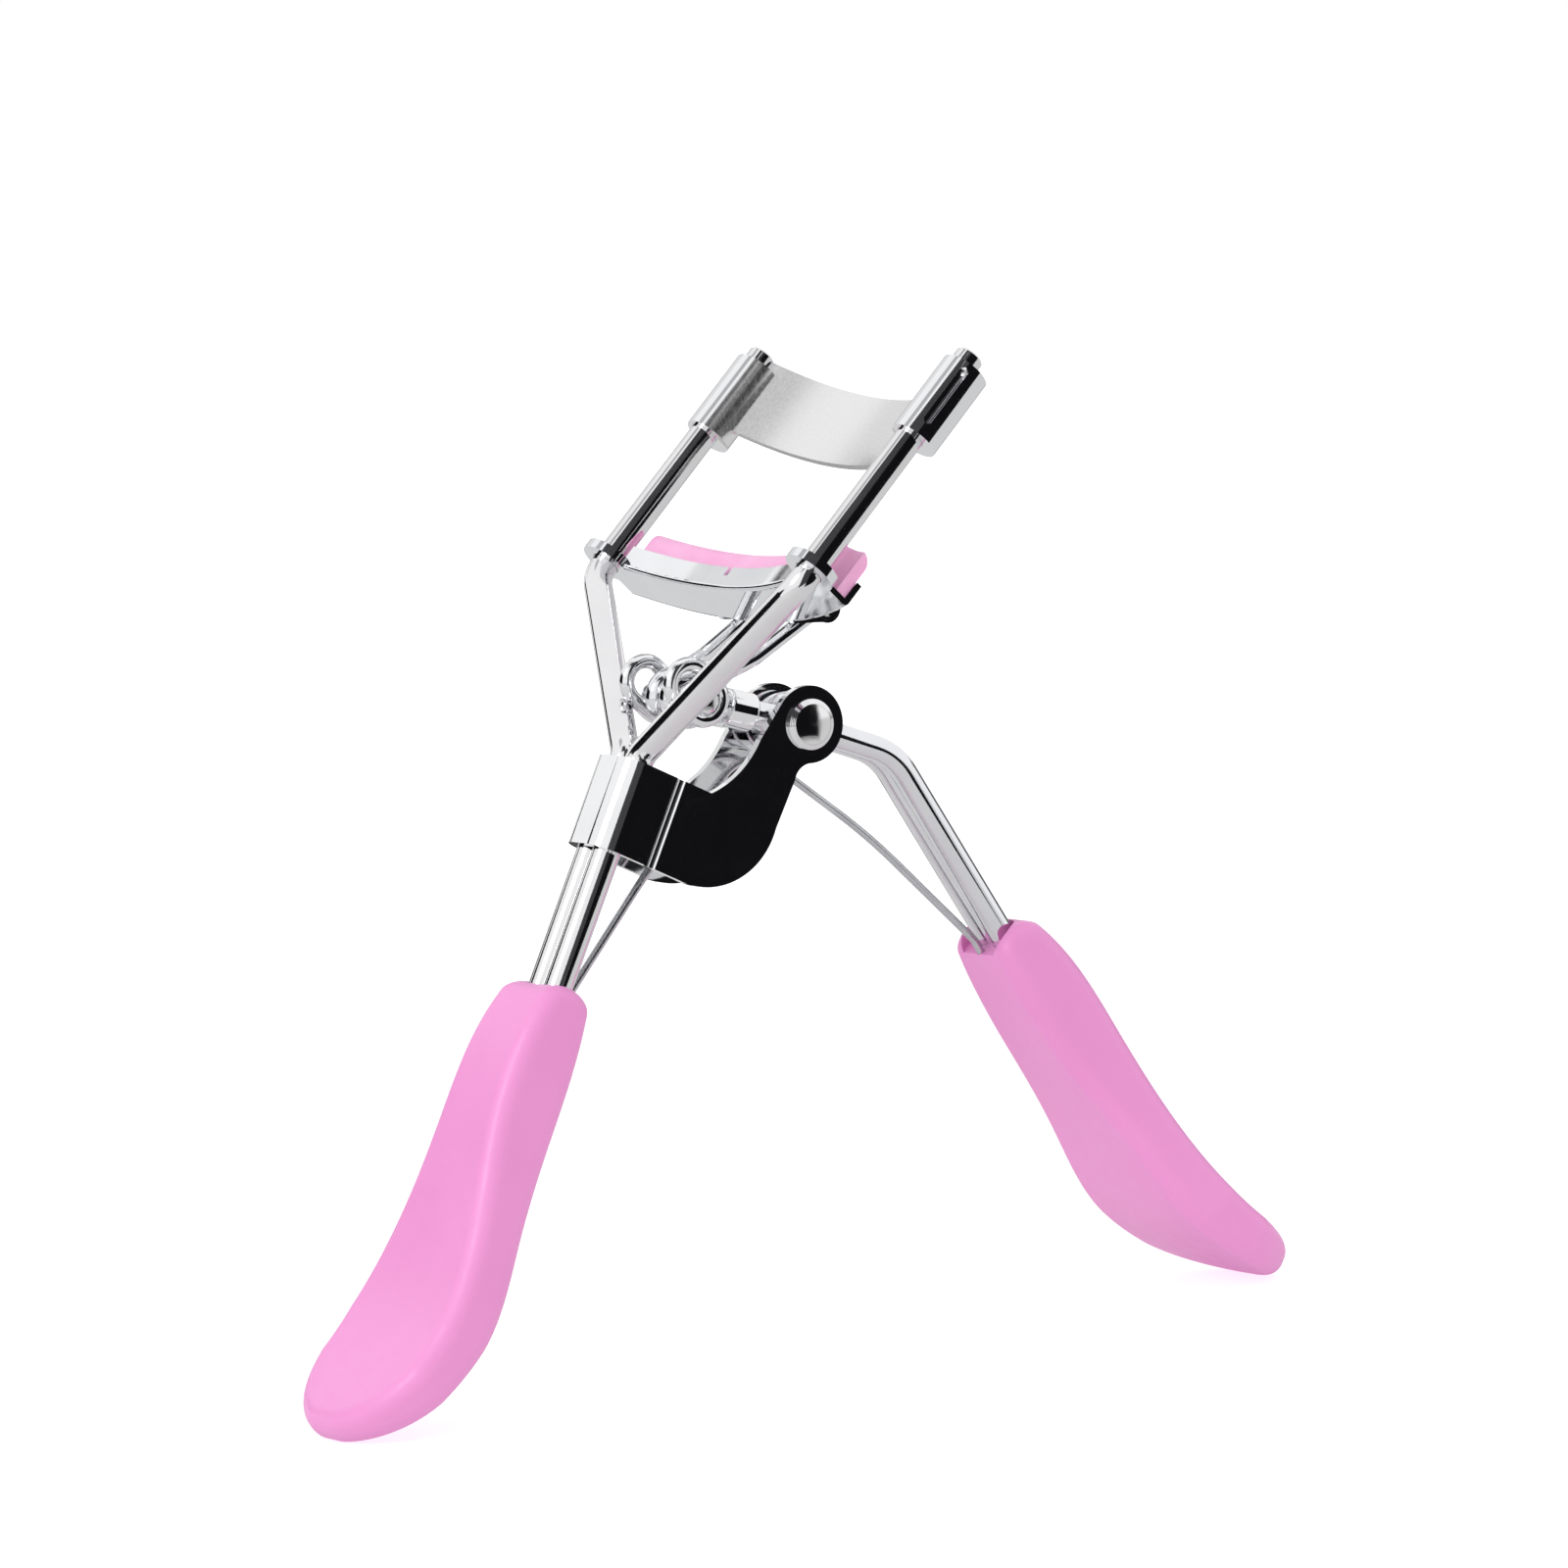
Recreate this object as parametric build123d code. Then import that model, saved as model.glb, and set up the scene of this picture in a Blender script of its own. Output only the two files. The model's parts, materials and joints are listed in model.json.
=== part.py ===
from build123d import *
import os
from math import cos, radians, sin, sqrt

# Wire eyelash curler, open, standing on the tips of its two grips. Millimetres.
# +X points from the fixed handle to the squeezed lever, +Y is the left side, +Z is up.
# Most places are given in the side view, as (x, z) measured from the lever's pivot.

# ---- driving dimensions ------------------------------------------------------------------

PIVOT = (2.947, 54.703)         # x and height of the lever's pivot above the floor

# fixed frame: two wires, mirrored about the plane y = 0
FRAME_WIRE = 2.5                # wire diameter
FORK = (-8.2, 13.2)             # side-view place where guides and arms meet
GUIDE_LEAN = 46.8               # guide rods, from vertical
STEM_LEAN = 28.0                # stem and arms, from vertical
ROD_HALF_SPAN = 17.0            # guide rods' axes, each side of the middle
ROD_LENGTH = 25.7               # fork to rod top
ARM_LENGTH = 16.0               # fork to the place where the two wires meet, along the stem
STEM_HALF_SPAN = 1.28           # stem wires' axes, each side of the middle
STEM_TO_GRIP = 37.0             # fork to grip, along the stem
WIRE_IN_GRIP = 15.0             # length of wire held in each grip
FORK_BEND = 3.0
STEM_BEND = 2.0

# collar bracket: a strip wrapped round the stem, with an ear each side of the lever
SHEET = 0.8
COLLAR_TOP = 16.8               # below the fork, along the stem
COLLAR_HEIGHT = 8.0
EAR_RADIUS = 3.35               # round end about the pivot
LOBE = (-9.3, -7.2)             # centre of the ears' rounded lower lobe
LOBE_RADIUS = 5.3
COLLAR_BACK = 4.0               # the strip's outline ends this far behind the stem's axis
COLLAR_TO_WAIST = 6.6           # stem's axis to the start of the waist above the lobe
COLLAR_TO_LOBE = 6.4            # stem's axis to the start of the lobe
EAR_THROAT = (-1.9, -4.6)       # the ear's edges between the lobe and its round end
EAR_THROAT_MIDDLE = (-1.3, -3.7)
EAR_FOOT = (-0.3, -EAR_RADIUS)
EAR_BACK = (-5.0, -0.75)
WAIST = (-7.2, -3.2)
GROOVE_OFFSET = 3.4             # crimp line in the ears, from the stem's axis
FIT = 0.02                      # gap round pieces that are held fast

# pivot rivet
RIVET = 3.0
RIVET_HEAD = 4.4
RIVET_HEAD_HEIGHT = 0.8
RUNNING = 0.05                  # radial clearance of turning and sliding fits

# lever: two wires side by side, each with an eye on the rivet and an eye on the link pin
LEVER_WIRE = 2.3
LEVER_HALF_SPAN = 1.2
LEVER_KNEE = (9.48, -3.83)      # bend of the long arm
LEVER_KNEE_BEND = 6.0
LEVER_LEAN = 29.6               # long arm, from vertical
LEVER_TO_GRIP = 18.765          # knee to grip
PIVOT_EYE = 5.4
LINK_RADIUS = 11.2              # pivot to link pin
LINK_ANGLE = 17.6               # short arm above horizontal, pointing back
LINK_PIN = 1.5
LINK_EYE_RADIUS = 1.72          # middle of the curled wire round the link pin
LINK_EYE_WIRE = 1.84
LINK_PIN_HALF_LENGTH = 4.4
FERRULE_START = 4.7             # from the pivot, along the short arm
FERRULE_LENGTH = 2.8
FERRULE_WALL = 0.5

# head, in its own frame: b outward from the guides, y across, h along the guides
CLIP_RISE = 1.9                 # fork to the jaw's rest level
PLATE_BOTTOM = 15.9
PLATE_TOP = 23.4
PLATE_SHEET = 0.6
PLATE_RADIUS = 28.0             # bow of the upper plate
PLATE_END = 16.2                # half-span at which the plate's bow reaches its rolled ends
PLATE_END_OUT = 0.6             # how far outward of the rods' axes it reaches them
ROLL_RADIUS = 2.15              # rolled ends, outside
ROLL_OUT = 0.45                 # centre of the roll, outward of the rod's axis
ROLL_BOTTOM = 14.6
ROLL_TOP = 22.4
SEAM_HEIGHT = 6.1               # open seam in each rolled end of the plate
SEAM_WIDTH = 0.8
SEAM_MIDDLE = 18.8
SEAM_TURN = 27.0                # the seam faces sideways, turned this much inward of the head

JAW_RADIUS = 52.0               # bow of the lower jaw, at its middle line
JAW_MIDDLE = 5.0                # b of the jaw's middle line at y = 0
JAW_HALF_WIDTH = 2.35
JAW_SHEET = 0.5
JAW_FLOOR = -0.5                # underside of the floor
JAW_BEND = 0.42                 # outside radius of the channel's two long bends
JAW_WALL_TOP = 1.8
JAW_END = 17.6                  # half-length of the outer wall
JAW_INNER_END = 15.1            # half-length of the inner wall
CLIP_RADIUS = 2.35
CLIP_HEIGHT = 0.9
PAD_TOP = 4.3
PAD_HALF_WIDTH = 1.8
PAD_END = 17.3
ROD_NOTCH = 2.45                # radius cut out of the pad round each rolled plate end
LUG = (8.65, 2.6)               # b and h of the lugs' holes
LUG_RADIUS = 1.25
LUG_Y = 5.9
LUG_SHEET = 0.6
CLIP_NOTCH = (0.6, 0.9)         # width and depth of the notch in the inner wall

# yoke: two thin wires from the link pin up to the lugs of the jaw
YOKE_WIRE = 1.3
YOKE_EYE_Y = 3.7
YOKE_LEG_Y = 4.75
YOKE_SLOT = 1.9                 # the link pin's side travel in the yoke's long eyes
YOKE_EYE_SHIFT = 0.09           # long eyes' middle above the pin at rest, along the guides
YOKE_EYE_RADIUS = 1.8           # middle of the wire at each end of the long eye
YOKE_BEND = (-5.6, 6.3)

# return spring: a V of thin wire between the handles
SPRING_WIRE = 0.7
SPRING_APEX = (-4.3, -1.5)
SPRING_APEX_BEND = 4.0
SPRING_LEG_BEND = 2.0
SPRING_BOW = 0.9                # the legs bow outward
SPRING_BOW_RADIUS = 60.0
SPRING_OFFSET = -2.0            # where the legs stand in the grips, inward of the wires
SPRING_IN_GRIP = 5.0

# grips, in their own frame: b outward, y across, s down from the top
GRIP_OUTER = [(2.5, 1.2), (3.5, 6.0), (3.6, 12.0), (2.9, 21.0), (3.3, 30.0), (5.4, 37.0), (7.0, 40.6)]
GRIP_INNER = [(-2.4, 1.2), (-2.8, 6.0), (-2.8, 12.0), (-2.2, 22.0), (-1.7, 30.5), (0.7, 37.0), (4.6, 42.6)]
GRIP_HALF_WIDTH = [(4.3, 0.0), (4.8, 6.0), (5.3, 13.0), (7.2, 22.0), (8.9, 31.0)]
GRIP_TIP = (6.3, 42.2)          # b and s of the paddle's rounded tip
GRIP_TIP_LEAN = 30.0            # direction of the curved tip, from the handle's axis
GRIP_TIP_RADIUS = 9.1
GRIP_BELOW = 46.0               # the outline is drawn past the tip, down to here
GRIP_EDGE = 1.6
SOCKET = (6.4, 4.4)             # recess in the grip's top, across and outward
SOCKET_DEPTH = 1.3

BIG = 60.0


# ---- places ------------------------------------------------------------------------------

def side(point, y=0.0):
    """A side-view point (x, z from the pivot) at a place y across."""
    return Vector(PIVOT[0] + point[0], y, PIVOT[1] + point[1])


def leaning(angle):
    """Unit vector in the side view, leaning from +Z towards +X by an angle in degrees."""
    return Vector(sin(radians(angle)), 0, cos(radians(angle)))


GUIDE = leaning(GUIDE_LEAN)
STEM = leaning(STEM_LEAN)
LEVER = leaning(-LEVER_LEAN)
SHORT_ARM = Vector(-cos(radians(LINK_ANGLE)), 0, sin(radians(LINK_ANGLE)))
GUIDE_OUT = leaning(GUIDE_LEAN + 90)
STEM_IN = leaning(STEM_LEAN + 90)
LEVER_OUT = leaning(90 - LEVER_LEAN)

SIDE_VIEW = Plane(origin=side((0, 0)), x_dir=(1, 0, 0), z_dir=(0, -1, 0))
HEAD = Plane(origin=side(FORK) + GUIDE * CLIP_RISE, x_dir=GUIDE_OUT, z_dir=GUIDE)
STEM_SECTION = Plane(origin=side(FORK) - STEM * COLLAR_TOP, x_dir=STEM_IN, z_dir=STEM)
FIXED_GRIP = Plane(origin=side(FORK) - STEM * STEM_TO_GRIP, x_dir=-STEM_IN, z_dir=STEM)
LEVER_GRIP = Plane(origin=side(LEVER_KNEE) - LEVER * LEVER_TO_GRIP, x_dir=LEVER_OUT, z_dir=LEVER)
LINK_POINT = side((0, 0)) + SHORT_ARM * LINK_RADIUS


def across(y):
    return Vector(0, y, 0)


def head_level(height):
    return Plane(origin=HEAD.origin + GUIDE * height, x_dir=HEAD.x_dir, z_dir=HEAD.z_dir)


def wire(path, diameter):
    """Round wire along a path."""
    start = path.location_at(0)
    section = Plane(origin=start.position, z_dir=path.tangent_at(0)) * Circle(diameter / 2)
    return sweep(section, path=path)


def cross_pin(centre, radius, y_from, y_to):
    """Cylinder along Y."""
    low, high = sorted((y_from, y_to))
    face = Plane(origin=(centre.X, low, centre.Z), z_dir=(0, 1, 0)) * Circle(radius)
    return extrude(face, amount=high - low)


def domed_head(centre, y, outward, radius, height):
    """Rivet head standing outward (+1 or -1) from the plane y: rim, bevel and shallow dome."""
    rim = extrude(Circle(radius), amount=0.75 * height)
    rim = chamfer(rim.edges().sort_by(Axis.Z)[-1], 0.35 * height, 0.2 * radius)
    ball = 3.5 * radius
    dome = Location((0, 0, height - ball)) * Sphere(ball)
    core = extrude(Circle(0.8 * radius), amount=height)
    plane = Plane(origin=(centre.X, y, centre.Z), z_dir=(0, outward, 0))
    return plane * (rim + (core & dome))


# ---- fixed frame -------------------------------------------------------------------------

def guide_rod(hand):
    """One frame wire: guide rod, sloping arm and its half of the stem."""
    top = side(FORK, hand * ROD_HALF_SPAN) + GUIDE * ROD_LENGTH
    fork = side(FORK, hand * ROD_HALF_SPAN)
    meet = side(FORK, hand * STEM_HALF_SPAN) - STEM * ARM_LENGTH
    end = side(FORK, hand * STEM_HALF_SPAN) - STEM * (STEM_TO_GRIP + WIRE_IN_GRIP)
    path = FilletPolyline(top, fork, meet, end, radius=[FORK_BEND, STEM_BEND])
    rod = wire(path, FRAME_WIRE)
    rim = rod.edges().sort_by(Axis.Z)[-1]
    return chamfer(rim, 0.25)


def bow_band(middle_b, radius, inner, outer, half_length):
    """Part of a ring in the head's (b, y) plane, bowed outward, from inner to outer of its middle line."""
    centre = Location((middle_b - radius, 0))
    ring = centre * Circle(radius + outer) - centre * Circle(radius + inner)
    return ring & (Location((middle_b, 0)) * Rectangle(30, 2 * half_length))


def upper_plate():
    """Bowed plate whose two ends are rolled round the rods."""
    rise = PLATE_RADIUS - sqrt(PLATE_RADIUS ** 2 - PLATE_END ** 2)
    bow = bow_band(rise + PLATE_END_OUT, PLATE_RADIUS, -PLATE_SHEET / 2, PLATE_SHEET / 2, PLATE_END)
    plate = extrude(head_level(PLATE_BOTTOM) * bow, amount=PLATE_TOP - PLATE_BOTTOM)
    for hand in (-1, 1):
        roll = Location((ROLL_OUT, hand * ROD_HALF_SPAN)) * Circle(ROLL_RADIUS)
        plate = plate + extrude(head_level(ROLL_BOTTOM) * roll, amount=ROLL_TOP - ROLL_BOTTOM)
    for hand in (-1, 1):
        rod = Location((0, hand * ROD_HALF_SPAN)) * Circle(FRAME_WIRE / 2 + FIT)
        plate = plate - extrude(head_level(0) * rod, amount=BIG) - seam_cut(hand)
    return plate


def seam_cut(hand):
    """Open seam of a rolled end: a round-ended slot through the roll."""
    turn = radians(SEAM_TURN)
    facing = across(hand * cos(turn)) - GUIDE_OUT * sin(turn)
    middle = HEAD.origin + across(hand * ROD_HALF_SPAN) + GUIDE_OUT * ROLL_OUT + GUIDE * SEAM_MIDDLE
    face = Plane(origin=middle, x_dir=GUIDE, z_dir=facing) * SlotOverall(SEAM_HEIGHT, SEAM_WIDTH)
    return extrude(face, amount=4)


def bracket_section(grow):
    """U round the two stem wires, open towards the pivot; grow is 0 inside and the sheet outside."""
    reach = FRAME_WIRE / 2 + FIT + grow
    half = STEM_HALF_SPAN
    back = Location((-reach / 2, 0)) * Rectangle(reach, 2 * half)
    ears = Location((BIG / 4, 0)) * Rectangle(BIG / 2, 2 * (half + reach))
    round_back = Location((0, half)) * Circle(reach) + Location((0, -half)) * Circle(reach)
    return back + ears + round_back


def bracket_outline():
    """Side outline of the bracket: the collar, the lobe below and the ear round the pivot."""
    def collar(along, inward):
        place = side(FORK) - STEM * (COLLAR_TOP + along) + STEM_IN * inward - side((0, 0))
        return (place.X, place.Z)

    waist_start = collar(0, COLLAR_TO_WAIST)
    lobe_start = collar(COLLAR_HEIGHT, COLLAR_TO_LOBE)
    outline = Polyline(
        waist_start, collar(0, -COLLAR_BACK), collar(COLLAR_HEIGHT, -COLLAR_BACK), lobe_start
    )
    lobe = ThreePointArc(
        lobe_start,
        (LOBE[0] + LOBE_RADIUS * sin(radians(8)), LOBE[1] - LOBE_RADIUS * cos(radians(8))),
        (LOBE[0] + LOBE_RADIUS * cos(radians(14)), LOBE[1] - LOBE_RADIUS * sin(radians(14))),
    )
    front = Line(lobe @ 1, EAR_THROAT)
    under = ThreePointArc(front @ 1, EAR_THROAT_MIDDLE, EAR_FOOT)
    end = RadiusArc(under @ 1, (-EAR_RADIUS * cos(radians(40)), EAR_RADIUS * sin(radians(40))),
                    EAR_RADIUS, short_sagitta=False)
    back = Line(end @ 1, EAR_BACK)
    waist = ThreePointArc(back @ 1, WAIST, waist_start)
    return make_face(outline + lobe + front + under + end + back + waist)


def collar_bracket():
    """Strip wrapped round the stem, with two ears that carry the rivet."""
    start = Plane(origin=STEM_SECTION.origin - STEM * BIG / 2, x_dir=STEM_IN, z_dir=STEM)
    strip = extrude(start * bracket_section(SHEET), amount=BIG)
    strip = strip - extrude(start * bracket_section(0), amount=BIG)
    outline = extrude(SIDE_VIEW * bracket_outline(), amount=6, both=True)
    bracket = strip & outline
    bracket = bracket - cross_pin(side((0, 0)), RIVET / 2 + FIT, -6, 6)
    outer = STEM_HALF_SPAN + FRAME_WIRE / 2 + FIT + SHEET
    for hand in (-1, 1):
        groove = Plane(
            origin=side(FORK) - STEM * COLLAR_TOP + STEM_IN * GROOVE_OFFSET + across(hand * (outer + 0.35)),
            x_dir=STEM_IN, z_dir=STEM,
        )
        bracket = bracket - extrude(groove * Circle(0.55), amount=BIG / 2, both=True)
    return bracket


def pivot_rivet():
    """Rivet through both ears, with a domed head on each side."""
    outer = STEM_HALF_SPAN + FRAME_WIRE / 2 + FIT + SHEET + FIT
    centre = side((0, 0))
    rivet = cross_pin(centre, RIVET / 2, -outer, outer)
    for hand in (-1, 1):
        rivet = rivet + domed_head(centre, hand * outer, hand, RIVET_HEAD / 2, RIVET_HEAD_HEIGHT)
    return rivet


# ---- lever -------------------------------------------------------------------------------

def lever_wire(hand):
    """One lever wire: long arm, flattened eye on the rivet, short arm and curled end eye."""
    y = hand * LEVER_HALF_SPAN
    pivot = side((0, 0), y)
    knee = side(LEVER_KNEE, y)
    end = knee - LEVER * (LEVER_TO_GRIP + WIRE_IN_GRIP)
    long_arm = wire(FilletPolyline(pivot, knee, end, radius=LEVER_KNEE_BEND), LEVER_WIRE)
    tip = pivot + SHORT_ARM * (LINK_RADIUS - LINK_EYE_RADIUS)
    short_arm = wire(Line(pivot, tip), LEVER_WIRE)
    eye = cross_pin(pivot, PIVOT_EYE / 2, y - LEVER_WIRE / 2, y + LEVER_WIRE / 2)
    eye = fillet(eye.edges().filter_by(GeomType.CIRCLE), 0.3)
    curl = Plane(origin=LINK_POINT + across(y), z_dir=(0, 1, 0)) * Torus(LINK_EYE_RADIUS, LINK_EYE_WIRE / 2)
    lever = long_arm + short_arm + eye + curl
    lever = lever - cross_pin(side((0, 0)), RIVET / 2 + RUNNING, -6, 6)
    return lever - cross_pin(LINK_POINT, LINK_PIN / 2 + FIT, -6, 6)


def ferrule_section(radius):
    return SlotCenterToCenter(2 * LEVER_HALF_SPAN, 2 * radius, rotation=90)


def lever_ferrule():
    """Oval barrel pressed round the two short arms."""
    bore = LEVER_WIRE / 2 + FIT
    start = Plane(
        origin=side((0, 0)) + SHORT_ARM * FERRULE_START, x_dir=(-SHORT_ARM.Z, 0, SHORT_ARM.X), z_dir=SHORT_ARM
    )
    barrel = extrude(start * ferrule_section(bore + FERRULE_WALL), amount=FERRULE_LENGTH)
    barrel = fillet(barrel.edges(), 0.3)
    return barrel - extrude(start * ferrule_section(bore), amount=FERRULE_LENGTH)


def link_pin():
    """Cross pin with small domed heads."""
    pin = cross_pin(LINK_POINT, LINK_PIN / 2, -LINK_PIN_HALF_LENGTH, LINK_PIN_HALF_LENGTH)
    for hand in (-1, 1):
        pin = pin + domed_head(LINK_POINT, hand * LINK_PIN_HALF_LENGTH, hand, 1.15, 0.5)
    return pin


# ---- jaw and yoke ------------------------------------------------------------------------

def jaw_lug(hand):
    """Small ear that stands out from the outer wall, with the yoke's hole."""
    wall_b = JAW_MIDDLE + JAW_HALF_WIDTH - LUG_Y ** 2 / (2 * JAW_RADIUS) - JAW_SHEET
    plane = Plane(origin=HEAD.origin + across(hand * LUG_Y), x_dir=GUIDE_OUT, z_dir=(0, -1, 0))
    web = make_face(Polyline(
        (wall_b, JAW_FLOOR), (wall_b, JAW_WALL_TOP), (LUG[0] - 0.7, LUG[1] + 1.0),
        (LUG[0] + 1.05, LUG[1] - 0.6), (wall_b + JAW_SHEET, JAW_FLOOR), close=True,
    ))
    tab = web + Location(LUG) * Circle(LUG_RADIUS)
    tab = tab - Location(LUG) * Circle(YOKE_WIRE / 2 + RUNNING)
    return extrude(plane * tab, amount=LUG_SHEET / 2, both=True)


def jaw_channel():
    """Bowed channel that holds the pad, with a clip round each rod and two lugs."""
    width = JAW_HALF_WIDTH
    floor = bow_band(JAW_MIDDLE, JAW_RADIUS, -width, width, JAW_END)
    inner = bow_band(JAW_MIDDLE, JAW_RADIUS, -width, JAW_SHEET - width, JAW_INNER_END)
    outer = bow_band(JAW_MIDDLE, JAW_RADIUS, width - JAW_SHEET, width, JAW_END)
    base = head_level(JAW_FLOOR)
    jaw = extrude(base * floor, amount=JAW_SHEET)
    jaw = jaw + extrude(base * inner, amount=JAW_WALL_TOP - JAW_FLOOR)
    jaw = jaw + extrude(base * outer, amount=JAW_WALL_TOP - JAW_FLOOR)
    jaw = jaw & bent_block(base * floor)
    for hand in (-1, 1):
        rod = Location((0, hand * ROD_HALF_SPAN))
        jaw = jaw + extrude(base * (rod * Circle(CLIP_RADIUS)), amount=CLIP_HEIGHT)
    for hand in (-1, 1):
        rod = Location((0, hand * ROD_HALF_SPAN))
        jaw = jaw - extrude(base * (rod * Circle(FRAME_WIRE / 2 + RUNNING)), amount=6, both=True)
        jaw = jaw + jaw_lug(hand)
    notch = Location((JAW_MIDDLE - width, 1.5)) * Rectangle(1.4, CLIP_NOTCH[0])
    return jaw - extrude(head_level(JAW_WALL_TOP - CLIP_NOTCH[1]) * notch, amount=3)


def bent_block(section):
    """Block over the channel's outline, its two long lower edges rounded like bent sheet."""
    block = extrude(section, amount=JAW_WALL_TOP - JAW_FLOOR)
    lowest = block.faces().sort_by(lambda face: (face.center() - HEAD.origin).dot(GUIDE))[0]
    return fillet(lowest.edges().filter_by(GeomType.CIRCLE), JAW_BEND)


def jaw_pad():
    """Soft strip in the channel, rounded along its top, cut away round each rod."""
    low = JAW_FLOOR + JAW_SHEET
    strip = bow_band(JAW_MIDDLE, JAW_RADIUS, -PAD_HALF_WIDTH, PAD_HALF_WIDTH, PAD_END)
    pad = extrude(head_level(low) * strip, amount=PAD_TOP - low)
    top_face = pad.faces().sort_by(lambda face: (face.center() - HEAD.origin).dot(GUIDE))[-1]
    long_edges = top_face.edges().filter_by(GeomType.CIRCLE)
    pad = fillet(long_edges, 1.2)
    for hand in (-1, 1):
        rod = Location((0, hand * ROD_HALF_SPAN))
        end = Location((-1.0, hand * (ROD_HALF_SPAN + 1))) * Rectangle(4.4, 4.4)
        roll = Location((ROLL_OUT, hand * ROD_HALF_SPAN))
        clear = rod * Circle(CLIP_RADIUS + 0.1)
        cut = extrude(head_level(low) * clear, amount=CLIP_HEIGHT - JAW_SHEET + 0.1)
        cut = cut + extrude(head_level(low) * (roll * Circle(ROD_NOTCH) + end), amount=8)
        pad = pad - cut
    return pad


def yoke_wire(hand):
    """Thin wire: hook through a lug, leg, and a long eye on the link pin."""
    lug = HEAD.origin + GUIDE_OUT * LUG[0] + GUIDE * LUG[1]
    eye_middle = LINK_POINT - GUIDE_OUT * (YOKE_SLOT / 2 - YOKE_EYE_SHIFT) + GUIDE * YOKE_EYE_SHIFT
    eye_middle = eye_middle + across(hand * YOKE_EYE_Y)
    landing = eye_middle + GUIDE * YOKE_EYE_RADIUS + GUIDE_OUT * 0.6
    path = FilletPolyline(
        lug + across(hand * (LUG_Y + 1.0)),
        lug + across(hand * YOKE_LEG_Y),
        side(YOKE_BEND, hand * (YOKE_LEG_Y - 0.5)),
        landing,
        radius=[0.9, 5.0],
    )
    leg = wire(path, YOKE_WIRE)
    plane = Plane(origin=eye_middle, x_dir=GUIDE_OUT, z_dir=(0, -1, 0))
    loop = plane * SlotCenterToCenter(YOKE_SLOT, 2 * YOKE_EYE_RADIUS)
    return leg + wire(loop.wire(), YOKE_WIRE)


# ---- spring and grips --------------------------------------------------------------------

def return_spring():
    """V of thin wire whose gently bowed legs stand in the two grips."""
    apex = side(SPRING_APEX)
    left = FIXED_GRIP.origin + FIXED_GRIP.x_dir * SPRING_OFFSET
    right = LEVER_GRIP.origin + LEVER_GRIP.x_dir * SPRING_OFFSET
    path = FilletPolyline(
        left - STEM * SPRING_IN_GRIP, left, leg_middle(left, apex), apex,
        leg_middle(apex, right), right, right - LEVER * SPRING_IN_GRIP,
        radius=[SPRING_LEG_BEND, SPRING_BOW_RADIUS, SPRING_APEX_BEND, SPRING_BOW_RADIUS,
                SPRING_LEG_BEND],
    )
    return wire(path, SPRING_WIRE)


def leg_middle(start, end):
    """Middle of a spring leg, moved outward by the leg's bow."""
    run = (end - start).normalized()
    return (start + end) / 2 + Vector(-run.Z, 0, run.X) * SPRING_BOW


def grip_body():
    """Paddle grip in its own frame: x outward, y across, z up, top at z = 0."""
    outer = Spline([(b, -s) for b, s in GRIP_OUTER])
    inner = Spline([(b, -s) for b, s in GRIP_INNER])
    tip = RadiusArc(outer @ 1, inner @ 1, 2.2)
    top = ThreePointArc(inner @ 0, (0.2, 0), outer @ 0)
    profile = extrude(Plane.XZ * make_face(outer + tip + inner + top), amount=20, both=True)
    right = Spline([(w, -s) for w, s in GRIP_HALF_WIDTH])
    left = Spline([(-w, -s) for w, s in GRIP_HALF_WIDTH])
    wide = GRIP_HALF_WIDTH[-1][0]
    end = Polyline(right @ 1, (wide, -GRIP_BELOW), (-wide, -GRIP_BELOW), left @ 1)
    cap = Line(left @ 0, right @ 0)
    outline = extrude(Plane.YZ * make_face(right + end + left + cap), amount=20, both=True)
    return profile & outline & tip_rounding()


def tip_rounding():
    """Everything inside the paddle's rounded end, seen square on to the curved tip."""
    lean = radians(GRIP_TIP_LEAN)
    onward = Vector(sin(lean), 0, -cos(lean))
    middle = Vector(GRIP_TIP[0], 0, -GRIP_TIP[1]) - onward * GRIP_TIP_RADIUS
    face = Circle(GRIP_TIP_RADIUS) + Location((-BIG / 2, 0)) * Rectangle(BIG, 2 * GRIP_TIP_RADIUS)
    plane = Plane(origin=middle, x_dir=onward, z_dir=(cos(lean), 0, sin(lean)))
    return extrude(plane * face, amount=BIG, both=True)


def grip(place, wire_diameter, half_span):
    """A grip set on a handle, with a recess and bores for its wires and the spring's leg."""
    body = grip_body()
    body = fillet(body.edges(), GRIP_EDGE)
    recess = Location((SPRING_OFFSET / 3, 0, -SOCKET_DEPTH)) * SlotOverall(SOCKET[0], SOCKET[1], rotation=90)
    body = body - extrude(recess, amount=4)
    bores = Location((0, half_span)) * Circle(wire_diameter / 2 + FIT)
    bores = bores + Location((0, -half_span)) * Circle(wire_diameter / 2 + FIT)
    body = body - extrude(bores, amount=-WIRE_IN_GRIP - FIT)
    spring_bore = Location((SPRING_OFFSET, 0)) * Circle(SPRING_WIRE / 2 + FIT)
    body = body - extrude(spring_bore, amount=-SPRING_IN_GRIP - FIT)
    return place * body


def write(name, shape):
    export_step(shape, f"parts/{name}.step")


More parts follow.
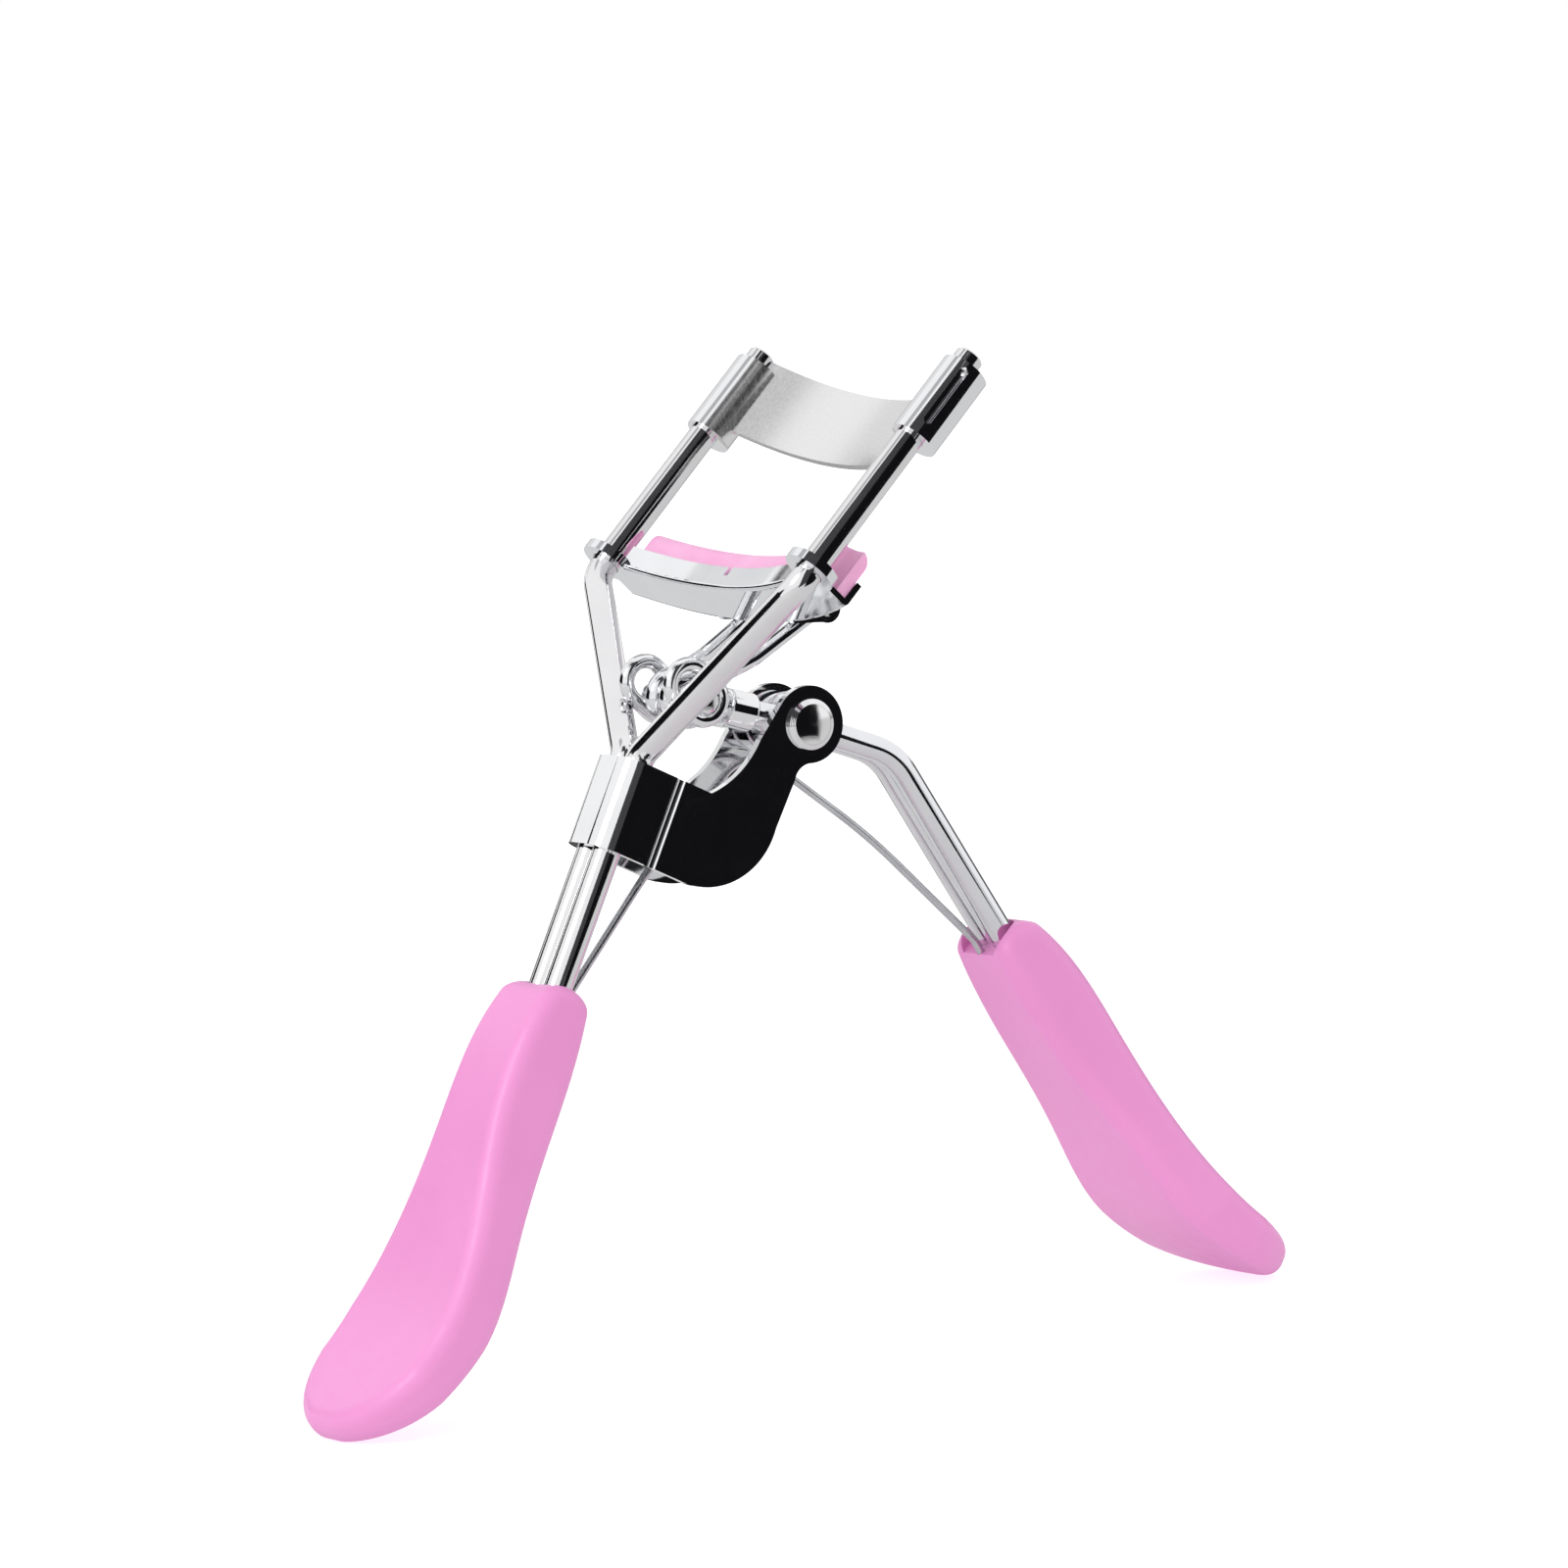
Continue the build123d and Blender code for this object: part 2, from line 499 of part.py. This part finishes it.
os.makedirs("parts", exist_ok=True)
for hand, name in ((1, "left"), (-1, "right")):
    write(f"guide_rod_{name}", guide_rod(hand))
    write(f"lever_wire_{name}", lever_wire(hand))
    write(f"yoke_wire_{name}", yoke_wire(hand))
write("upper_plate", upper_plate())
write("collar_bracket", collar_bracket())
write("pivot_rivet", pivot_rivet())
write("lever_ferrule", lever_ferrule())
write("link_pin", link_pin())
write("jaw_channel", jaw_channel())
write("jaw_pad", jaw_pad())
write("return_spring", return_spring())
write("grip_fixed", grip(FIXED_GRIP, FRAME_WIRE, STEM_HALF_SPAN))
write("grip_lever", grip(LEVER_GRIP, LEVER_WIRE, LEVER_HALF_SPAN))
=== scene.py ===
import json
import math

import bpy
from mathutils import Matrix, Vector


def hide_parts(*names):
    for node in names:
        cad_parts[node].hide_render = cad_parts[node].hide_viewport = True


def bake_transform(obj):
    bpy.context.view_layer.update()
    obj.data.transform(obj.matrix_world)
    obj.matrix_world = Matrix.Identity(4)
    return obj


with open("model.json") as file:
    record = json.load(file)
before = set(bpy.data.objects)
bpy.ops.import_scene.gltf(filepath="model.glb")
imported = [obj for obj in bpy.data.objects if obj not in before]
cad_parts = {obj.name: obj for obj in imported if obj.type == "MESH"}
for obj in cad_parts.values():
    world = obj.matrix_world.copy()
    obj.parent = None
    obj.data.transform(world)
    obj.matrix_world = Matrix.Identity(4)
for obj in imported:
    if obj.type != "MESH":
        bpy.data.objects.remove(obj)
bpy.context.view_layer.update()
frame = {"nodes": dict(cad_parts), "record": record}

MM = 0.001
nodes = frame["nodes"]
joints = {j["name"]: j for j in frame["record"]["behaviour"]["joints"]}
pivot = Vector(joints["lever_squeeze"]["pos_m"])
guide = Vector(joints["jaw_slide"]["axis"])


def from_pivot(x, z):
    """A side-view point, in millimetres from the pivot."""
    return pivot + Vector((x, 0, z)) * MM


def leaning(degrees):
    """Unit vector in the side view, so many degrees from vertical towards +X."""
    lean = math.radians(degrees)
    return Vector((math.sin(lean), 0, math.cos(lean)))


STEM_LEAN = 28.0                # degrees
LEVER_LEAN = -29.6
LINK_ARM = 11.2                 # millimetres from the pivot to the link pin
LINK_RISE = math.radians(17.6)  # that line's angle above level

stem_way = leaning(STEM_LEAN)
lever_way = leaning(LEVER_LEAN)
link = from_pivot(-LINK_ARM * math.cos(LINK_RISE), LINK_ARM * math.sin(LINK_RISE))

# the return spring, in millimetres; places are measured from the pivot in the side view
FORK = (-8.2, 13.2)             # where guides and arms of the frame meet
STEM_TO_GRIP = 37.0
KNEE = (9.48, -3.83)            # bend of the lever's long arm
KNEE_TO_GRIP = 18.765
SPRING_APEX = (-4.3, -1.5)
SPRING_INWARD = 2.0             # legs stand this far inward of the wires in the grips
SPRING_IN_GRIP = 5.0
SPRING_BOW = 0.9
SPRING_BENDS = (2.0, 60.0, 4.0, 60.0, 2.0)
SPRING_RADIUS = 0.35


# ---- node helpers ------------------------------------------------------------------------

def new_material(name):
    mat = bpy.data.materials.new(name)
    mat.use_nodes = True
    tree = mat.node_tree
    tree.nodes.clear()
    out = tree.nodes.new("ShaderNodeOutputMaterial")
    shader = tree.nodes.new("ShaderNodeBsdfPrincipled")
    tree.links.new(shader.outputs[0], out.inputs[0])
    return mat, tree, shader


def add(tree, kind, values=None, links=None, **settings):
    """A node with its settings, socket values and incoming links."""
    node = tree.nodes.new(kind)
    for key, value in settings.items():
        setattr(node, key, value)
    for key, value in (values or {}).items():
        node.inputs[key].default_value = value
    for key, socket in (links or {}).items():
        tree.links.new(socket, node.inputs[key])
    return node


def ramp(tree, factor, stops):
    node = add(tree, "ShaderNodeValToRGB", links={"Fac": factor})
    els = node.color_ramp.elements
    while len(els) < len(stops):
        els.new(0.5)
    for el, (pos, value) in zip(els, stops):
        el.position = pos
        el.color = (*value, 1) if isinstance(value, tuple) else (value, value, value, 1)
    return node.outputs["Color"]


def maths(tree, operation, a, b=None):
    node = add(tree, "ShaderNodeMath", operation=operation)
    for socket, value in zip(node.inputs, (a, b)):
        if value is None:
            continue
        if isinstance(value, (int, float)):
            socket.default_value = value
        else:
            tree.links.new(value, socket)
    return node.outputs[0]


def along(tree, direction):
    """Place along a direction, in metres, in the row frame."""
    place = add(tree, "ShaderNodeTexCoord").outputs["Object"]
    dot = add(tree, "ShaderNodeVectorMath", {1: tuple(direction)}, {0: place}, operation="DOT_PRODUCT")
    return dot.outputs["Value"]


def grain_space(tree, direction, fine, coarse):
    """Coordinates with a short scale across a direction and a long one along it."""
    place = add(tree, "ShaderNodeTexCoord").outputs["Object"]
    d = Vector(direction).normalized()
    turn = d.to_track_quat("Z", "Y").inverted().to_euler()
    return add(
        tree, "ShaderNodeMapping", {"Rotation": tuple(turn), "Scale": (fine, fine, coarse)},
        {"Vector": place},
    ).outputs[0]


def noise(tree, vector, scale, detail=4.0, rough=0.5):
    return add(
        tree, "ShaderNodeTexNoise", {"Scale": scale, "Detail": detail, "Roughness": rough},
        {"Vector": vector},
    ).outputs["Fac"]


def bumped(tree, shader, height, strength, distance):
    bump = add(tree, "ShaderNodeBump", {"Strength": strength, "Distance": distance}, {"Height": height})
    tree.links.new(bump.outputs[0], shader.inputs["Normal"])
    return bump


# ---- materials ---------------------------------------------------------------------------

def chrome(name, direction, tint=(0.90, 0.905, 0.92), rough=(0.035, 0.13)):
    """Bright chrome plate with fine drawing lines along a direction and faint handling haze."""
    mat, tree, shader = new_material(name)
    place = add(tree, "ShaderNodeTexCoord").outputs["Object"]
    lines = noise(tree, grain_space(tree, direction, 9000, 260), 1.0, 3)
    haze = noise(tree, place, 190, 5, 0.6)
    both = maths(tree, "ADD", maths(tree, "MULTIPLY", lines, 0.35), maths(tree, "MULTIPLY", haze, 0.65))
    low = tuple(0.93 * c for c in tint)
    tree.links.new(ramp(tree, haze, [(0.3, low), (0.7, tint)]), shader.inputs["Base Color"])
    tree.links.new(ramp(tree, both, [(0.35, rough[0]), (0.75, rough[1])]), shader.inputs["Roughness"])
    shader.inputs["Metallic"].default_value = 1.0
    bumped(tree, shader, lines, 0.05, 0.00002)
    return mat


def satin_plate(name):
    """The bowed plate: satin in the middle, bright on its rolled ends."""
    mat, tree, shader = new_material(name)
    place = add(tree, "ShaderNodeTexCoord").outputs["Object"]
    across = maths(tree, "ABSOLUTE", along(tree, (0, 1, 0)))
    # a full ramp is 20 mm to each side of the middle
    ends = ramp(tree, maths(tree, "MULTIPLY", across, 50.0), [(0.76, 0.0), (0.79, 1.0)])
    lines = noise(tree, grain_space(tree, guide, 5200, 90), 1.0, 4)
    haze = noise(tree, place, 160, 5, 0.6)
    satin = ramp(tree, lines, [(0.3, 0.22), (0.7, 0.28)])
    bright = ramp(tree, haze, [(0.35, 0.035), (0.75, 0.09)])
    mix = add(tree, "ShaderNodeMix", links={"Factor": ends, "A": satin, "B": bright})
    tree.links.new(mix.outputs[0], shader.inputs["Roughness"])
    middle = ramp(tree, lines, [(0.3, (0.81, 0.81, 0.81)), (0.7, (0.84, 0.84, 0.84))])
    tint = add(
        tree, "ShaderNodeMix", links={"Factor": ends, "A": middle}, data_type="RGBA",
    )
    tint.inputs["B"].default_value = (0.86, 0.865, 0.88, 1)
    tree.links.new(tint.outputs["Result"], shader.inputs["Base Color"])
    shader.inputs["Metallic"].default_value = 1.0
    bumped(tree, shader, lines, 0.03, 0.00001)
    return mat


def turned(name, centre):
    """Polished rivet end with faint turning rings about an axis along Y."""
    mat, tree, shader = new_material(name)
    place = add(tree, "ShaderNodeTexCoord").outputs["Object"]
    local = add(tree, "ShaderNodeVectorMath", {1: tuple(centre)}, {0: place}, operation="SUBTRACT").outputs[0]
    flat = add(tree, "ShaderNodeVectorMath", {1: (1, 0, 1)}, {0: local}, operation="MULTIPLY").outputs[0]
    radius = add(tree, "ShaderNodeVectorMath", links={0: flat}, operation="LENGTH").outputs["Value"]
    ring_pitch = 0.00011
    rings = maths(tree, "SINE", maths(tree, "MULTIPLY", radius, 2 * math.pi / ring_pitch))
    haze = noise(tree, place, 420, 5, 0.6)
    tree.links.new(ramp(tree, haze, [(0.3, 0.05), (0.75, 0.17)]), shader.inputs["Roughness"])
    tree.links.new(
        ramp(tree, haze, [(0.3, (0.80, 0.80, 0.81)), (0.7, (0.88, 0.88, 0.89))]), shader.inputs["Base Color"])
    shader.inputs["Metallic"].default_value = 1.0
    bumped(tree, shader, rings, 0.06, 0.00001)
    return mat


def spring_steel(name):
    """Drawn spring wire: greyer than the chrome, with fine lines along it."""
    mat, tree, shader = new_material(name)
    place = add(tree, "ShaderNodeTexCoord").outputs["Object"]
    lines = noise(tree, grain_space(tree, (0.6, 0, -0.8), 12000, 500), 1.0, 3)
    haze = noise(tree, place, 300, 4, 0.6)
    tree.links.new(ramp(tree, haze, [(0.3, (0.55, 0.56, 0.58)), (0.7, (0.68, 0.69, 0.71))]),
                   shader.inputs["Base Color"])
    tree.links.new(ramp(tree, lines, [(0.3, 0.16), (0.7, 0.34)]), shader.inputs["Roughness"])
    shader.inputs["Metallic"].default_value = 1.0
    bumped(tree, shader, lines, 0.1, 0.00002)
    return mat


def grip_plastic(name):
    """Satin moulded pink plastic with a fine moulded grain and slight colour drift."""
    mat, tree, shader = new_material(name)
    place = add(tree, "ShaderNodeTexCoord").outputs["Object"]
    drift = noise(tree, place, 60, 3, 0.5)
    grain = noise(tree, place, 3400, 3, 0.6)
    soft = noise(tree, place, 620, 4, 0.55)
    tree.links.new(
        ramp(tree, drift, [(0.3, (0.84, 0.300, 0.640)), (0.7, (0.88, 0.325, 0.675))]),
        shader.inputs["Base Color"])
    tree.links.new(ramp(tree, soft, [(0.3, 0.30), (0.7, 0.42)]), shader.inputs["Roughness"])
    shader.inputs["IOR"].default_value = 1.46
    shader.inputs["Subsurface Weight"].default_value = 0.12
    shader.inputs["Subsurface Radius"].default_value = (0.9, 0.45, 0.7)
    shader.inputs["Subsurface Scale"].default_value = 0.0012
    fine = bumped(tree, shader, grain, 0.10, 0.00003)
    broad = add(tree, "ShaderNodeBump", {"Strength": 0.12, "Distance": 0.00012}, {"Height": soft})
    tree.links.new(broad.outputs[0], fine.inputs["Normal"])
    return mat


def silicone(name):
    """Soft pink silicone with a slight bloom."""
    mat, tree, shader = new_material(name)
    place = add(tree, "ShaderNodeTexCoord").outputs["Object"]
    drift = noise(tree, place, 240, 4, 0.55)
    grain = noise(tree, place, 5200, 2, 0.5)
    tree.links.new(
        ramp(tree, drift, [(0.3, (0.90, 0.41, 0.68)), (0.7, (0.95, 0.50, 0.76))]),
        shader.inputs["Base Color"])
    tree.links.new(ramp(tree, drift, [(0.3, 0.42), (0.7, 0.55)]), shader.inputs["Roughness"])
    shader.inputs["IOR"].default_value = 1.42
    shader.inputs["Subsurface Weight"].default_value = 0.25
    shader.inputs["Subsurface Radius"].default_value = (1.0, 0.5, 0.7)
    shader.inputs["Subsurface Scale"].default_value = 0.0008
    shader.inputs["Sheen Weight"].default_value = 0.08
    bumped(tree, shader, grain, 0.08, 0.00002)
    return mat


def dress(node, mat):
    obj = nodes[node]
    obj.data.materials.clear()
    obj.data.materials.append(mat)


# the frame and lever wire tints are set a little darker than the sheet chrome: painted shade, standing in for
# the greyer reflections on these wires
frame_chrome = chrome("frame_wire_chrome", guide, (0.85, 0.842, 0.855))
lever_chrome = chrome("lever_wire_chrome", lever_way, (0.84, 0.845, 0.87))
sheet_chrome = chrome("sheet_chrome", stem_way, (0.90, 0.905, 0.915), (0.03, 0.11))
jaw_chrome = chrome("jaw_chrome", (0, 1, 0), (0.89, 0.90, 0.92), (0.04, 0.14))
yoke_chrome = chrome("yoke_wire_chrome", guide, (0.88, 0.885, 0.90), (0.05, 0.15))
pink = grip_plastic("grip_plastic")

for side in ("left", "right"):
    dress(f"guide_rod_{side}", frame_chrome)
    dress(f"lever_wire_{side}", lever_chrome)
    dress(f"yoke_wire_{side}", yoke_chrome)
dress("upper_plate", satin_plate("upper_plate_steel"))
dress("collar_bracket", sheet_chrome)
dress("lever_ferrule", sheet_chrome)
dress("jaw_channel", jaw_chrome)
dress("pivot_rivet", turned("rivet_steel", pivot))
dress("link_pin", turned("link_pin_steel", link))
dress("jaw_pad", silicone("pad_silicone"))
dress("grip_fixed", pink)
dress("grip_lever", pink)
dress("return_spring", spring_steel("spring_wire"))


# ---- return spring between frame and lever -----------------------------------------------

def rounded(points, radii, steps):
    """The path through the points, with each inner corner swapped for an arc of its radius."""
    out = [points[0]]
    for before, corner, after, radius in zip(points, points[1:], points[2:], radii):
        a, b = (before - corner).normalized(), (after - corner).normalized()
        half = a.angle(b) / 2
        middle = corner + (a + b).normalized() * radius / math.sin(half)
        first = corner + a * radius / math.tan(half) - middle
        last = corner + b * radius / math.tan(half) - middle
        for i in range(steps + 1):
            arm = first.lerp(last, i / steps).normalized() * radius
            out.append(middle + arm)
    out.append(points[-1])
    return out


def evenly(path, step):
    """The same path with points at most a step apart."""
    out = [path[0]]
    for start, end in zip(path, path[1:]):
        n = max(1, math.ceil((end - start).length / step))
        out += [start.lerp(end, i / n) for i in range(1, n + 1)]
    return out


def tube(name, path, radius, sides):
    """Round wire along a path that stays in a plane y = constant."""
    verts, faces = [], []
    for i, point in enumerate(path):
        run = (path[min(i + 1, len(path) - 1)] - path[max(i - 1, 0)]).normalized()
        normal = Vector((-run.z, 0, run.x))
        for k in range(sides):
            turn = 2 * math.pi * k / sides
            verts.append(point + radius * (math.cos(turn) * normal + math.sin(turn) * Vector((0, 1, 0))))
    for i in range(len(path) - 1):
        for k in range(sides):
            here, there = i * sides + k, i * sides + (k + 1) % sides
            faces.append((here, there, there + sides, here + sides))
    faces.append(tuple(range(sides)))
    faces.append(tuple(range(len(verts) - 1, len(verts) - 1 - sides, -1)))
    mesh = bpy.data.meshes.new(name)
    mesh.from_pydata([tuple(v) for v in verts], [], faces)
    mesh.update()
    for polygon in mesh.polygons:
        polygon.use_smooth = len(polygon.vertices) == 4
    obj = bpy.data.objects.new(name, mesh)
    bpy.context.collection.objects.link(obj)
    return obj


def leg_middle(start, end):
    """Middle of a spring leg, moved outward by the leg's bow."""
    run = (end - start).normalized()
    return (start + end) / 2 + Vector((-run.z, 0, run.x)) * SPRING_BOW * MM


def flexing_spring():
    """The sprung V in the same place as its CAD node, a fixed wire tube from frame to lever."""
    stem_in = Vector((stem_way.z, 0, -stem_way.x))
    lever_in = Vector((-lever_way.z, 0, lever_way.x))
    apex = from_pivot(*SPRING_APEX)
    left = from_pivot(*FORK) - stem_way * STEM_TO_GRIP * MM + stem_in * SPRING_INWARD * MM
    right = from_pivot(*KNEE) - lever_way * KNEE_TO_GRIP * MM + lever_in * SPRING_INWARD * MM
    corners = [
        left - stem_way * SPRING_IN_GRIP * MM, left, leg_middle(left, apex), apex,
        leg_middle(apex, right), right, right - lever_way * SPRING_IN_GRIP * MM,
    ]
    path = evenly(rounded(corners, [r * MM for r in SPRING_BENDS], 10), 0.4 * MM)
    piece = tube("return_spring_wire", path, SPRING_RADIUS * MM, 14)
    piece.data.materials.append(nodes["return_spring"].data.materials[0])
    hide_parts("return_spring")
    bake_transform(piece)


flexing_spring()


# ---- floor, surroundings and light -------------------------------------------------------

def plane_object(name, corners, mat):
    mesh = bpy.data.meshes.new(name)
    mesh.from_pydata([tuple(c) for c in corners], [], [(0, 1, 2, 3)])
    obj = bpy.data.objects.new(name, mesh)
    bpy.context.collection.objects.link(obj)
    mesh.materials.append(mat)
    return obj


def floor_material():
    """Pale paper: lit to white where the camera sees it, a light grey in reflections."""
    mat, tree, shader = new_material("floor_paper")
    place = add(tree, "ShaderNodeTexCoord").outputs["Object"]
    fibre = noise(tree, place, 900, 3)
    tree.links.new(ramp(tree, fibre, [(0.3, 0.66), (0.7, 0.70)]), shader.inputs["Base Color"])
    shader.inputs["Roughness"].default_value = 0.9
    shader.inputs["Emission Color"].default_value = (1, 1, 1, 1)
    seen = add(tree, "ShaderNodeLightPath").outputs["Is Camera Ray"]
    tree.links.new(maths(tree, "MULTIPLY", seen, 0.62), shader.inputs["Emission Strength"])
    return mat


floor = plane_object(
    "floor", [(-6, -6, 0), (6, -6, 0), (6, 6, 0), (-6, 6, 0)], floor_material())
floor.visible_diffuse = False


def around(azimuth, distance, height):
    """A place seen from the pivot: azimuth in degrees clockwise from +Y, seen from above."""
    a = math.radians(azimuth)
    return Vector((pivot.x + distance * math.sin(a), distance * math.cos(a), height))


def reflected_only(obj):
    obj.visible_camera = False
    obj.visible_shadow = False
    obj.visible_diffuse = False
    return obj


def card(name, mat, azimuth, distance, left, right, low, high):
    """Upright card that only the object's reflections see, square on to the line from the pivot.

    Its left and right edges are as seen from the pivot, its low and high ones above the floor.
    """
    a = math.radians(azimuth)
    rightward = Vector((math.cos(a), -math.sin(a), 0))
    foot = around(azimuth, distance, 0)
    corners = [foot + rightward * u + Vector((0, 0, v))
               for u, v in ((left, low), (right, low), (right, high), (left, high))]
    return reflected_only(plane_object(name, corners, mat))


def card_material(name, value):
    mat, tree, shader = new_material(name)
    shader.inputs["Base Color"].default_value = (0, 0, 0, 1)
    shader.inputs["Roughness"].default_value = 1.0
    shader.inputs["Specular IOR Level"].default_value = 0.0
    shader.inputs["Emission Color"].default_value = (*value, 1)
    shader.inputs["Emission Strength"].default_value = 1.0
    return mat


black = card_material("black_card", (0.006, 0.006, 0.007))
grey = card_material("grey_card", (0.06, 0.058, 0.062))
mid_grey = card_material("mid_grey_card", (0.50, 0.50, 0.51))
dim_grey = card_material("dim_grey_card", (0.30, 0.30, 0.31))
pale_grey = card_material("pale_grey_card", (0.80, 0.80, 0.80))

# the dark and grey bands in the chrome
card("card_front", black, azimuth=149, distance=0.10, left=-0.012, right=0.075, low=0.018, high=0.16)
card("card_front_left", grey, azimuth=196, distance=0.12, left=-0.045, right=0.034, low=0.045, high=0.22)
card("card_front_high", grey, azimuth=220, distance=0.12, left=-0.05, right=0.05, low=0.20, high=0.33)
card("card_left", black, azimuth=312, distance=0.30, left=-0.17, right=0.095, low=0.055, high=0.19)
card("card_back_left", black, azimuth=340, distance=0.40, left=-0.11, right=0.11, low=0.055, high=0.15)
card("card_back_right", grey, azimuth=75, distance=0.40, left=-0.09, right=0.09, low=0.045, high=0.14)
card("card_low_right", mid_grey, azimuth=48, distance=0.16, left=-0.05, right=0.05, low=0.0, high=0.07)
card("card_back", mid_grey, azimuth=18, distance=0.42, left=-0.10, right=0.16, low=0.03, high=0.21)
card("card_high_left", mid_grey, azimuth=286, distance=0.30, left=-0.12, right=0.11, low=0.55, high=1.3)
card("card_back_high", pale_grey, azimuth=355, distance=0.40, left=-0.10, right=0.13, low=0.22, high=0.42)
card("card_high_back", dim_grey, azimuth=38, distance=0.35, left=-0.24, right=0.24, low=0.46, high=1.2)
floor_corners = [(0.0145, 0.112), (0.11, 0.112), (0.11, 0.18), (0.0145, 0.18)]
reflected_only(plane_object("card_floor", [(x, y, 0.0015) for x, y in floor_corners], black))

world = bpy.data.worlds.new("studio")
bpy.context.scene.world = world
world.use_nodes = True
backdrop = world.node_tree.nodes["Background"]
backdrop.inputs["Color"].default_value = (1, 1, 1, 1)
rays = add(world.node_tree, "ShaderNodeLightPath")
strength = maths(world.node_tree, "SUBTRACT", 1.0,
                 maths(world.node_tree, "MULTIPLY", rays.outputs["Is Diffuse Ray"], 0.10))
world.node_tree.links.new(strength, backdrop.inputs["Strength"])


def area(name, place, target, size, power):
    light = bpy.data.lights.new(name, "AREA")
    light.shape = "DISK"
    light.size = size
    light.energy = power
    obj = bpy.data.objects.new(name, light)
    obj.location = place
    obj.rotation_mode = "QUATERNION"
    obj.rotation_quaternion = (Vector(target) - Vector(place)).to_track_quat("-Z", "Y")
    bpy.context.collection.objects.link(obj)


area("key", around(258, 0.8, 0.62), pivot, 0.4, 2.3)


# ---- camera ------------------------------------------------------------------------------

def photo_camera():
    """At the photograph's angle: azimuth, elevation and roll about the pivot."""
    azimuth, elevation, roll = (math.radians(v) for v in (30.86, 5.822, -4.539))
    distance, aside, lift = 0.70005, -0.00047553, -0.0052804
    ahead = Vector((math.sin(azimuth) * math.cos(elevation), math.cos(azimuth) * math.cos(elevation),
                    -math.sin(elevation)))
    level = Vector((math.cos(azimuth), -math.sin(azimuth), 0))
    upward = level.cross(ahead)
    right = math.cos(roll) * level + math.sin(roll) * upward
    up = -math.sin(roll) * level + math.cos(roll) * upward
    data = bpy.data.cameras.new("camera")
    data.sensor_width = 36
    data.lens = 186.617
    data.clip_start, data.clip_end = 0.01, 50
    cam = bpy.data.objects.new("camera", data)
    bpy.context.collection.objects.link(cam)
    cam.rotation_mode = "QUATERNION"
    cam.rotation_quaternion = Matrix((right, up, -ahead)).transposed().to_quaternion()
    cam.location = pivot - distance * ahead + aside * right + lift * up
    bpy.context.scene.camera = cam


photo_camera()
bpy.context.scene.view_settings.view_transform = "Standard"
